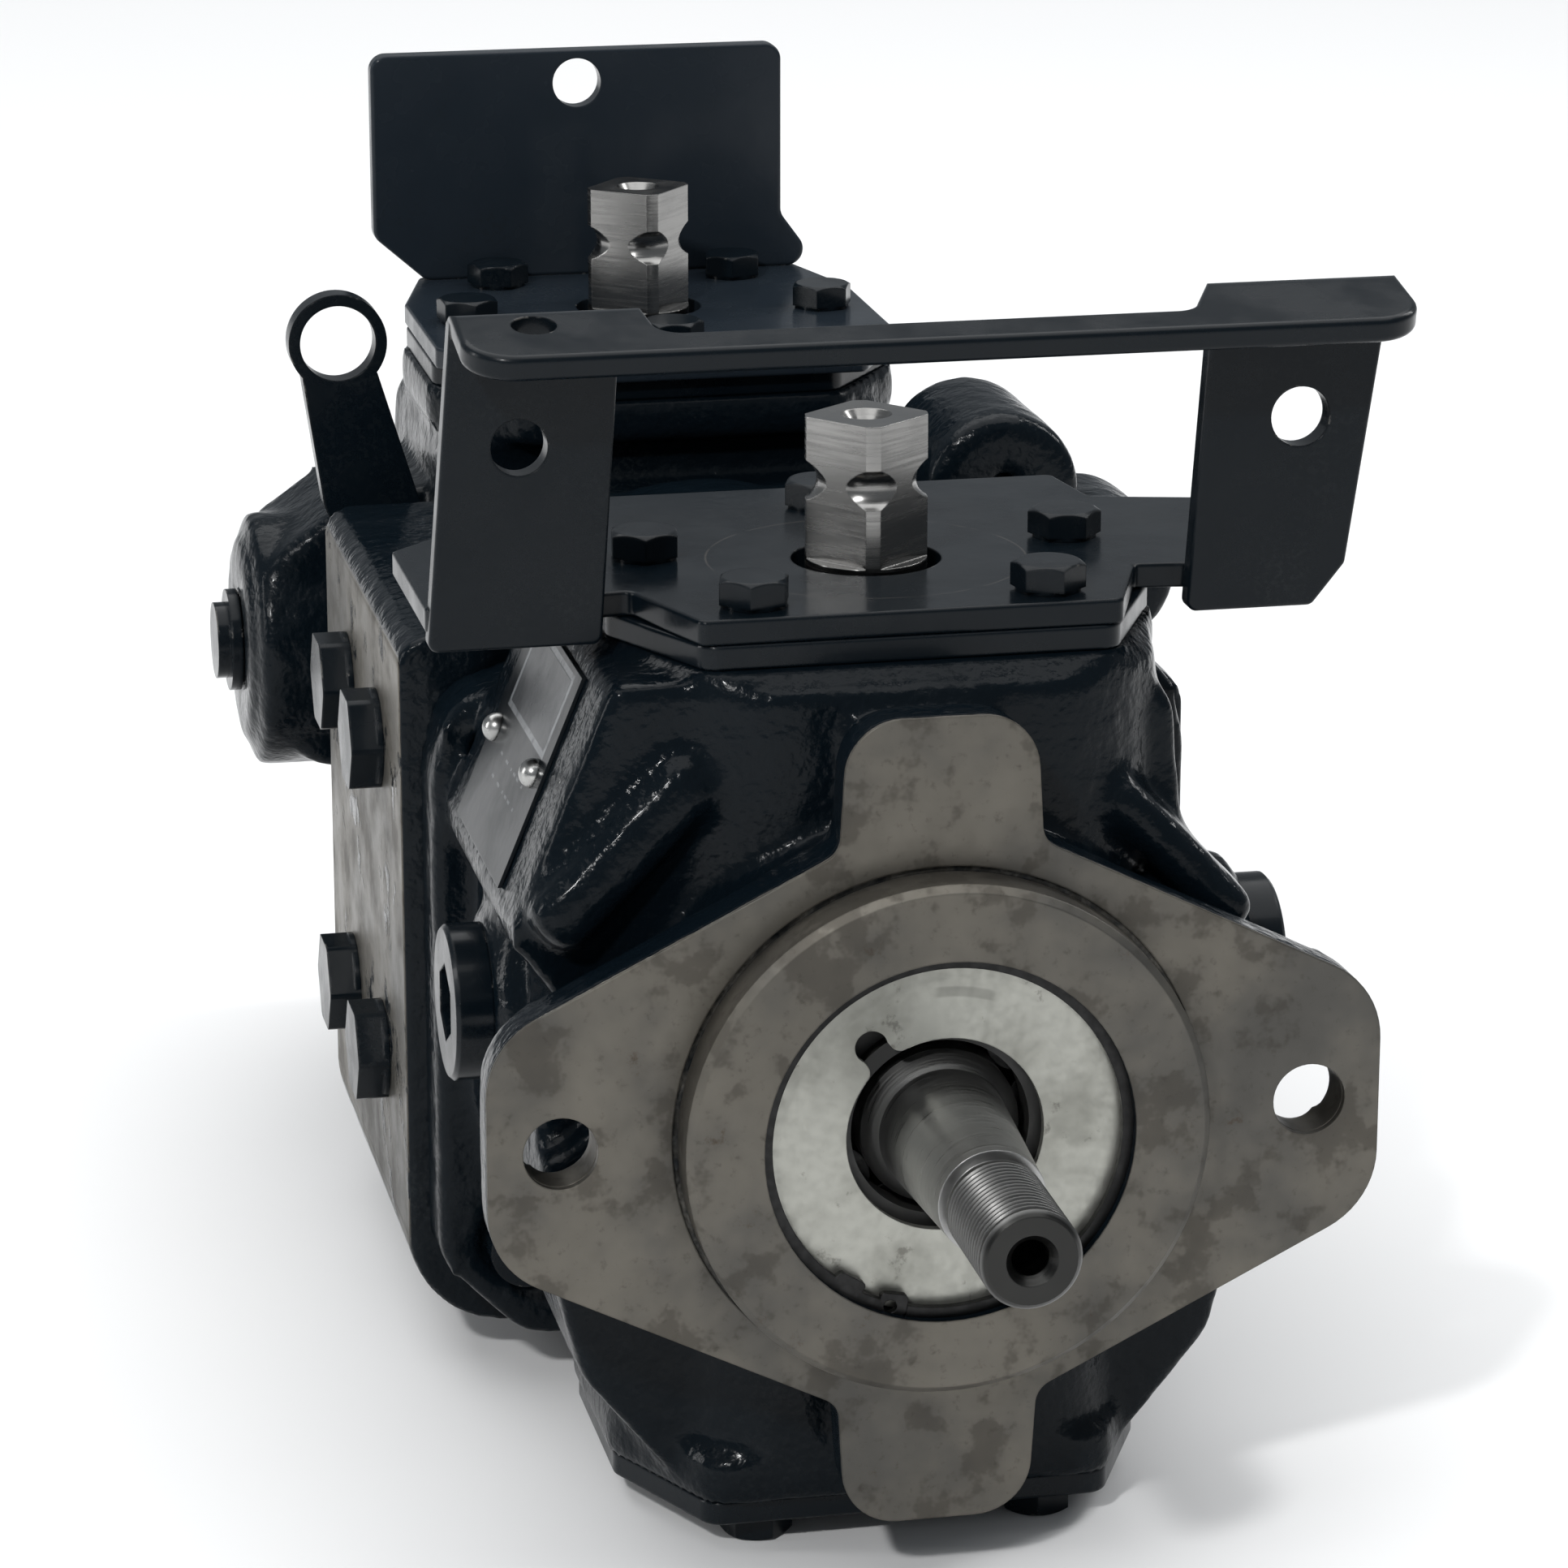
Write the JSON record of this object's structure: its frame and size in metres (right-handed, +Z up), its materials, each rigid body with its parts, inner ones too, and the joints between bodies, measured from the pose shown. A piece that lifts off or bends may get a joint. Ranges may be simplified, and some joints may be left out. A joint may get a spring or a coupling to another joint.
{
  "type": "axial piston pump",
  "caption": "Tandem axial piston pump with a tapered shaft, two-bolt flange, square trunnion posts, bent sheet control brackets and full rotating groups inside.",
  "frame": {"origin": "centre of the mounting flange's face, on the drive shaft's axis", "axes": "+Y along the shaft into the pump, +Z up along the trunnion posts, +X to the right seen from the shaft end"},
  "size_m": [0.203, 0.4538, 0.2476],
  "materials": {
    "paint": "glossy blue-black paint over rough cast iron",
    "painted_hardware": "glossy blue-black paint over steel",
    "label_plate": "overpainted thin metal plate",
    "rivet": "domed, partly painted",
    "seal_rubber": "matte",
    "washer": "grey zinc",
    "spring_steel": "dark phosphated",
    "bearing_steel": "ground",
    "bronze": "machined bearing bronze",
    "machined_steel": "turned and milled",
    "polished_steel": "hardened and polished",
    "block_iron": "turned steel",
    "sintered_steel": "satin"
  },
  "bodies": {
    "pump_body": {"front_housing": "paint", "center_section": "paint", "rear_housing": "paint", "charge_pump_cover": "paint", "trunnion_covers": "paint", "cover_bolts": "painted_hardware", "housing_bolts": "painted_hardware", "front_bracket": "paint", "rear_bracket": "paint", "lifting_eye": "painted_hardware", "nameplate": "label_plate", "nameplate_rivets": "rivet", "shaft_seal": "seal_rubber", "seal_washer": "washer", "retaining_ring": "spring_steel", "front_bearing": "bearing_steel", "valve_plates": "bronze", "relief_valve_plugs": "painted_hardware", "side_plugs": "painted_hardware", "trunnion_bushings": "bronze"},
    "shaft": {"drive_shaft": "machined_steel", "rear_shaft": "machined_steel", "front_cylinder_block": "block_iron", "rear_cylinder_block": "block_iron", "block_springs": "spring_steel", "ball_guides": "bearing_steel", "gerotor_inner": "sintered_steel"},
    "gerotor_ring": {"gerotor_outer": "sintered_steel"},
    "front_swash": {"front_swashplate": "machined_steel"},
    "front_retainer": {"front_slipper_retainer": "bearing_steel"},
    "front_shoe_1": {"front_slipper_1": "bronze"},
    "front_plunger_1": {"front_piston_1": "polished_steel"},
    "front_shoe_2": {"front_slipper_2": "bronze"},
    "front_plunger_2": {"front_piston_2": "polished_steel"},
    "front_shoe_3": {"front_slipper_3": "bronze"},
    "front_plunger_3": {"front_piston_3": "polished_steel"},
    "front_shoe_4": {"front_slipper_4": "bronze"},
    "front_plunger_4": {"front_piston_4": "polished_steel"},
    "front_shoe_5": {"front_slipper_5": "bronze"},
    "front_plunger_5": {"front_piston_5": "polished_steel"},
    "front_shoe_6": {"front_slipper_6": "bronze"},
    "front_plunger_6": {"front_piston_6": "polished_steel"},
    "front_shoe_7": {"front_slipper_7": "bronze"},
    "front_plunger_7": {"front_piston_7": "polished_steel"},
    "rear_swash": {"rear_swashplate": "machined_steel"},
    "rear_retainer": {"rear_slipper_retainer": "bearing_steel"},
    "rear_shoe_1": {"rear_slipper_1": "bronze"},
    "rear_plunger_1": {"rear_piston_1": "polished_steel"},
    "rear_shoe_2": {"rear_slipper_2": "bronze"},
    "rear_plunger_2": {"rear_piston_2": "polished_steel"},
    "rear_shoe_3": {"rear_slipper_3": "bronze"},
    "rear_plunger_3": {"rear_piston_3": "polished_steel"},
    "rear_shoe_4": {"rear_slipper_4": "bronze"},
    "rear_plunger_4": {"rear_piston_4": "polished_steel"},
    "rear_shoe_5": {"rear_slipper_5": "bronze"},
    "rear_plunger_5": {"rear_piston_5": "polished_steel"},
    "rear_shoe_6": {"rear_slipper_6": "bronze"},
    "rear_plunger_6": {"rear_piston_6": "polished_steel"},
    "rear_shoe_7": {"rear_slipper_7": "bronze"},
    "rear_plunger_7": {"rear_piston_7": "polished_steel"}
  },
  "joints": [
    {"name": "shaft_spin", "type": "hinge", "parent": "pump_body", "child": "shaft", "pos_m": [0, 0.1883, 0], "axis": [0, 1, 0], "continuous": true},
    {"name": "gerotor_ring_spin", "type": "hinge", "parent": "pump_body", "child": "gerotor_ring", "pos_m": [0, 0.367, 0.0022], "axis": [0, 1, 0], "continuous": true},
    {"name": "front_swash_tilt", "type": "hinge", "parent": "pump_body", "child": "front_swash", "pos_m": [0, 0.0658, 0], "axis": [0, 0, 1], "range_deg": [-15, 15]},
    {"name": "front_retainer_spin", "type": "hinge", "parent": "front_swash", "child": "front_retainer", "pos_m": [0, 0.0658, 0], "axis": [0, 1, 0], "continuous": true},
    {"name": "front_slipper_1_spin", "type": "hinge", "parent": "front_retainer", "child": "front_shoe_1", "pos_m": [0.0305, 0.0658, 0], "axis": [0, 1, 0], "continuous": true},
    {"name": "front_piston_1_swivel", "type": "hinge", "parent": "front_shoe_1", "child": "front_plunger_1", "pos_m": [0.0305, 0.0658, 0], "axis": [0, 0, 1], "range_deg": [-15, 15]},
    {"name": "front_slipper_2_spin", "type": "hinge", "parent": "front_retainer", "child": "front_shoe_2", "pos_m": [0.01902, 0.0658, 0.02385], "axis": [0, 1, 0], "continuous": true},
    {"name": "front_piston_2_swivel", "type": "hinge", "parent": "front_shoe_2", "child": "front_plunger_2", "pos_m": [0.01902, 0.0658, 0.02385], "axis": [0, 0, 1], "range_deg": [-15, 15]},
    {"name": "front_slipper_3_spin", "type": "hinge", "parent": "front_retainer", "child": "front_shoe_3", "pos_m": [-0.00679, 0.0658, 0.02974], "axis": [0, 1, 0], "continuous": true},
    {"name": "front_piston_3_swivel", "type": "hinge", "parent": "front_shoe_3", "child": "front_plunger_3", "pos_m": [-0.00679, 0.0658, 0.02974], "axis": [0, 0, 1], "range_deg": [-15, 15]},
    {"name": "front_slipper_4_spin", "type": "hinge", "parent": "front_retainer", "child": "front_shoe_4", "pos_m": [-0.02748, 0.0658, 0.01323], "axis": [0, 1, 0], "continuous": true},
    {"name": "front_piston_4_swivel", "type": "hinge", "parent": "front_shoe_4", "child": "front_plunger_4", "pos_m": [-0.02748, 0.0658, 0.01323], "axis": [0, 0, 1], "range_deg": [-15, 15]},
    {"name": "front_slipper_5_spin", "type": "hinge", "parent": "front_retainer", "child": "front_shoe_5", "pos_m": [-0.02748, 0.0658, -0.01323], "axis": [0, 1, 0], "continuous": true},
    {"name": "front_piston_5_swivel", "type": "hinge", "parent": "front_shoe_5", "child": "front_plunger_5", "pos_m": [-0.02748, 0.0658, -0.01323], "axis": [0, 0, 1], "range_deg": [-15, 15]},
    {"name": "front_slipper_6_spin", "type": "hinge", "parent": "front_retainer", "child": "front_shoe_6", "pos_m": [-0.00679, 0.0658, -0.02974], "axis": [0, 1, 0], "continuous": true},
    {"name": "front_piston_6_swivel", "type": "hinge", "parent": "front_shoe_6", "child": "front_plunger_6", "pos_m": [-0.00679, 0.0658, -0.02974], "axis": [0, 0, 1], "range_deg": [-15, 15]},
    {"name": "front_slipper_7_spin", "type": "hinge", "parent": "front_retainer", "child": "front_shoe_7", "pos_m": [0.01902, 0.0658, -0.02385], "axis": [0, 1, 0], "continuous": true},
    {"name": "front_piston_7_swivel", "type": "hinge", "parent": "front_shoe_7", "child": "front_plunger_7", "pos_m": [0.01902, 0.0658, -0.02385], "axis": [0, 0, 1], "range_deg": [-15, 15]},
    {"name": "rear_swash_tilt", "type": "hinge", "parent": "pump_body", "child": "rear_swash", "pos_m": [0, 0.3108, 0], "axis": [0, 0, 1], "range_deg": [-15, 15]},
    {"name": "rear_retainer_spin", "type": "hinge", "parent": "rear_swash", "child": "rear_retainer", "pos_m": [0, 0.3108, 0], "axis": [0, 1, 0], "continuous": true},
    {"name": "rear_slipper_1_spin", "type": "hinge", "parent": "rear_retainer", "child": "rear_shoe_1", "pos_m": [0.0305, 0.3108, 0], "axis": [0, 1, 0], "continuous": true},
    {"name": "rear_piston_1_swivel", "type": "hinge", "parent": "rear_shoe_1", "child": "rear_plunger_1", "pos_m": [0.0305, 0.3108, 0], "axis": [0, 0, 1], "range_deg": [-15, 15]},
    {"name": "rear_slipper_2_spin", "type": "hinge", "parent": "rear_retainer", "child": "rear_shoe_2", "pos_m": [0.01902, 0.3108, 0.02385], "axis": [0, 1, 0], "continuous": true},
    {"name": "rear_piston_2_swivel", "type": "hinge", "parent": "rear_shoe_2", "child": "rear_plunger_2", "pos_m": [0.01902, 0.3108, 0.02385], "axis": [0, 0, 1], "range_deg": [-15, 15]},
    {"name": "rear_slipper_3_spin", "type": "hinge", "parent": "rear_retainer", "child": "rear_shoe_3", "pos_m": [-0.00679, 0.3108, 0.02974], "axis": [0, 1, 0], "continuous": true},
    {"name": "rear_piston_3_swivel", "type": "hinge", "parent": "rear_shoe_3", "child": "rear_plunger_3", "pos_m": [-0.00679, 0.3108, 0.02974], "axis": [0, 0, 1], "range_deg": [-15, 15]},
    {"name": "rear_slipper_4_spin", "type": "hinge", "parent": "rear_retainer", "child": "rear_shoe_4", "pos_m": [-0.02748, 0.3108, 0.01323], "axis": [0, 1, 0], "continuous": true},
    {"name": "rear_piston_4_swivel", "type": "hinge", "parent": "rear_shoe_4", "child": "rear_plunger_4", "pos_m": [-0.02748, 0.3108, 0.01323], "axis": [0, 0, 1], "range_deg": [-15, 15]},
    {"name": "rear_slipper_5_spin", "type": "hinge", "parent": "rear_retainer", "child": "rear_shoe_5", "pos_m": [-0.02748, 0.3108, -0.01323], "axis": [0, 1, 0], "continuous": true},
    {"name": "rear_piston_5_swivel", "type": "hinge", "parent": "rear_shoe_5", "child": "rear_plunger_5", "pos_m": [-0.02748, 0.3108, -0.01323], "axis": [0, 0, 1], "range_deg": [-15, 15]},
    {"name": "rear_slipper_6_spin", "type": "hinge", "parent": "rear_retainer", "child": "rear_shoe_6", "pos_m": [-0.00679, 0.3108, -0.02974], "axis": [0, 1, 0], "continuous": true},
    {"name": "rear_piston_6_swivel", "type": "hinge", "parent": "rear_shoe_6", "child": "rear_plunger_6", "pos_m": [-0.00679, 0.3108, -0.02974], "axis": [0, 0, 1], "range_deg": [-15, 15]},
    {"name": "rear_slipper_7_spin", "type": "hinge", "parent": "rear_retainer", "child": "rear_shoe_7", "pos_m": [0.01902, 0.3108, -0.02385], "axis": [0, 1, 0], "continuous": true},
    {"name": "rear_piston_7_swivel", "type": "hinge", "parent": "rear_shoe_7", "child": "rear_plunger_7", "pos_m": [0.01902, 0.3108, -0.02385], "axis": [0, 0, 1], "range_deg": [-15, 15]}
  ],
  "couplings": [
    {"joint": "gerotor_ring_spin", "follows": "shaft_spin", "ratio": 0.85714},
    {"joint": "front_retainer_spin", "follows": "shaft_spin", "ratio": 1},
    {"joint": "front_slipper_1_spin", "follows": "shaft_spin", "ratio": -1},
    {"joint": "front_piston_1_swivel", "follows": "front_swash_tilt", "ratio": -1},
    {"joint": "front_slipper_2_spin", "follows": "shaft_spin", "ratio": -1},
    {"joint": "front_piston_2_swivel", "follows": "front_swash_tilt", "ratio": -1},
    {"joint": "front_slipper_3_spin", "follows": "shaft_spin", "ratio": -1},
    {"joint": "front_piston_3_swivel", "follows": "front_swash_tilt", "ratio": -1},
    {"joint": "front_slipper_4_spin", "follows": "shaft_spin", "ratio": -1},
    {"joint": "front_piston_4_swivel", "follows": "front_swash_tilt", "ratio": -1},
    {"joint": "front_slipper_5_spin", "follows": "shaft_spin", "ratio": -1},
    {"joint": "front_piston_5_swivel", "follows": "front_swash_tilt", "ratio": -1},
    {"joint": "front_slipper_6_spin", "follows": "shaft_spin", "ratio": -1},
    {"joint": "front_piston_6_swivel", "follows": "front_swash_tilt", "ratio": -1},
    {"joint": "front_slipper_7_spin", "follows": "shaft_spin", "ratio": -1},
    {"joint": "front_piston_7_swivel", "follows": "front_swash_tilt", "ratio": -1},
    {"joint": "rear_retainer_spin", "follows": "shaft_spin", "ratio": 1},
    {"joint": "rear_slipper_1_spin", "follows": "shaft_spin", "ratio": -1},
    {"joint": "rear_piston_1_swivel", "follows": "rear_swash_tilt", "ratio": -1},
    {"joint": "rear_slipper_2_spin", "follows": "shaft_spin", "ratio": -1},
    {"joint": "rear_piston_2_swivel", "follows": "rear_swash_tilt", "ratio": -1},
    {"joint": "rear_slipper_3_spin", "follows": "shaft_spin", "ratio": -1},
    {"joint": "rear_piston_3_swivel", "follows": "rear_swash_tilt", "ratio": -1},
    {"joint": "rear_slipper_4_spin", "follows": "shaft_spin", "ratio": -1},
    {"joint": "rear_piston_4_swivel", "follows": "rear_swash_tilt", "ratio": -1},
    {"joint": "rear_slipper_5_spin", "follows": "shaft_spin", "ratio": -1},
    {"joint": "rear_piston_5_swivel", "follows": "rear_swash_tilt", "ratio": -1},
    {"joint": "rear_slipper_6_spin", "follows": "shaft_spin", "ratio": -1},
    {"joint": "rear_piston_6_swivel", "follows": "rear_swash_tilt", "ratio": -1},
    {"joint": "rear_slipper_7_spin", "follows": "shaft_spin", "ratio": -1},
    {"joint": "rear_piston_7_swivel", "follows": "rear_swash_tilt", "ratio": -1}
  ]
}
